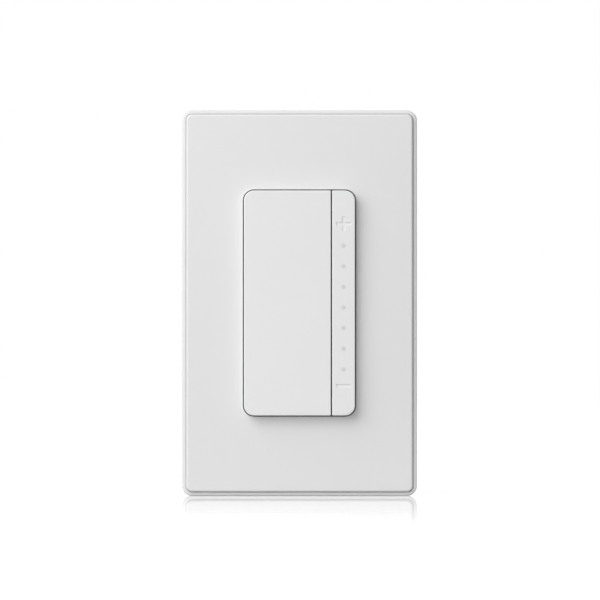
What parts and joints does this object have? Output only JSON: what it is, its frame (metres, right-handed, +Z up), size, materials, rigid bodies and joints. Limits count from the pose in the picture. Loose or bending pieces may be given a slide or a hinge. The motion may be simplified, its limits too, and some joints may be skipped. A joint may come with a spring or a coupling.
{
  "type": "smart dimmer switch",
  "caption": "One-gang in-wall dimmer with a wide press paddle, a narrow rocking level bar with level lights, and a two-piece screwless wall plate.",
  "frame": {"origin": "middle of the wall plate on the wall plane, midway between the two wall-box screws", "axes": "+Z up along the plate's height, +X to the right seen from the room, +Y into the wall; the front faces -Y"},
  "size_m": [0.0696, 0.0414, 0.1142],
  "materials": {
    "plate_white": "satin",
    "paddle_white": "satin",
    "guide_grey": "translucent",
    "frame_grey": "moulded",
    "housing_black": "fine spark texture",
    "board_green": "solder mask",
    "switch_black": "moulded",
    "chip_black": "moulded",
    "light_white": "gloss",
    "baffle_white": "moulded",
    "zinc_steel": "zinc plated",
    "yoke_steel": "zinc plated",
    "shield_tin": "tin plated",
    "spring_steel": "drawn wire",
    "ground_green": "dyed",
    "terminal_brass": "stamped",
    "clamp_steel": "plated",
    "silver_screw": "nickel plated",
    "tray_fibre": "moulded",
    "pad_grey": "filled silicone",
    "core_dark": "ferrite",
    "winding_copper": "enamelled copper",
    "can_sleeve": "shrink sleeve",
    "film_yellow": "gloss",
    "varistor_blue": "dipped",
    "fuse_brown": "moulded"
  },
  "bodies": {
    "device": {"sub_plate": "plate_white", "cover_plate": "plate_white", "sub_plate_screws": "zinc_steel", "front_frame": "frame_grey", "return_springs": "spring_steel", "control_board": "board_green", "control_board_screws": "zinc_steel", "main_switch": "switch_black", "level_switches": "switch_black", "level_leds": "light_white", "led_baffle": "baffle_white", "wireless_module": "board_green", "wireless_shield": "shield_tin", "driver_chip": "chip_black", "link_header": "switch_black", "link_socket": "switch_black", "yoke": "yoke_steel", "wall_box_screws": "zinc_steel", "ground_screw": "ground_green", "rear_housing": "housing_black", "housing_screws": "zinc_steel", "insulator_tray": "tray_fibre", "power_board": "board_green", "thermal_pads": "pad_grey", "power_transistors": "chip_black", "transistor_screws": "zinc_steel", "choke_core": "core_dark", "choke_winding": "winding_copper", "bulk_capacitor": "can_sleeve", "film_capacitor": "film_yellow", "transformer_core": "core_dark", "transformer_winding": "winding_copper", "surge_varistor": "varistor_blue", "line_fuse": "fuse_brown", "line_terminal": "terminal_brass", "load_terminal": "terminal_brass", "neutral_terminal": "terminal_brass", "clamp_plates": "clamp_steel", "line_screw": "terminal_brass", "load_screw": "terminal_brass", "neutral_screw": "silver_screw"},
    "main_paddle": {"main_paddle": "paddle_white"},
    "level_bar": {"level_bar": "paddle_white", "light_guide": "guide_grey"},
    "main_plunger": {"main_plunger": "baffle_white"},
    "level_up_plunger": {"level_up_plunger": "baffle_white"},
    "level_down_plunger": {"level_down_plunger": "baffle_white"}
  },
  "joints": [
    {"name": "paddle_press", "type": "hinge", "parent": "device", "child": "main_paddle", "pos_m": [-0.0036, -0.0066, 0.0302], "axis": [1, 0, 0], "range_deg": [0, 0.82], "stiffness_Nm_per_rad": 0.5, "springref_deg": -0.57, "deforming": ["return_springs"]},
    {"name": "level_rock", "type": "hinge", "parent": "device", "child": "level_bar", "pos_m": [0.01305, -0.0066, 0], "axis": [1, 0, 0], "range_deg": [-1.15, 1.15], "stiffness_Nm_per_rad": 0.3},
    {"name": "main_plunger_press", "type": "slide", "parent": "device", "child": "main_plunger", "axis": [0, 1, 0], "range_m": [0, 0.0005]},
    {"name": "level_up_press", "type": "slide", "parent": "device", "child": "level_up_plunger", "axis": [0, 1, 0], "range_m": [-0.0005, 0.0005]},
    {"name": "level_down_press", "type": "slide", "parent": "device", "child": "level_down_plunger", "axis": [0, 1, 0], "range_m": [-0.0005, 0.0005]}
  ],
  "couplings": [
    {"joint": "main_plunger_press", "follows": "paddle_press", "m_per_rad": 0.0342},
    {"joint": "level_up_press", "follows": "level_rock", "m_per_rad": -0.024},
    {"joint": "level_down_press", "follows": "level_rock", "m_per_rad": 0.024}
  ]
}
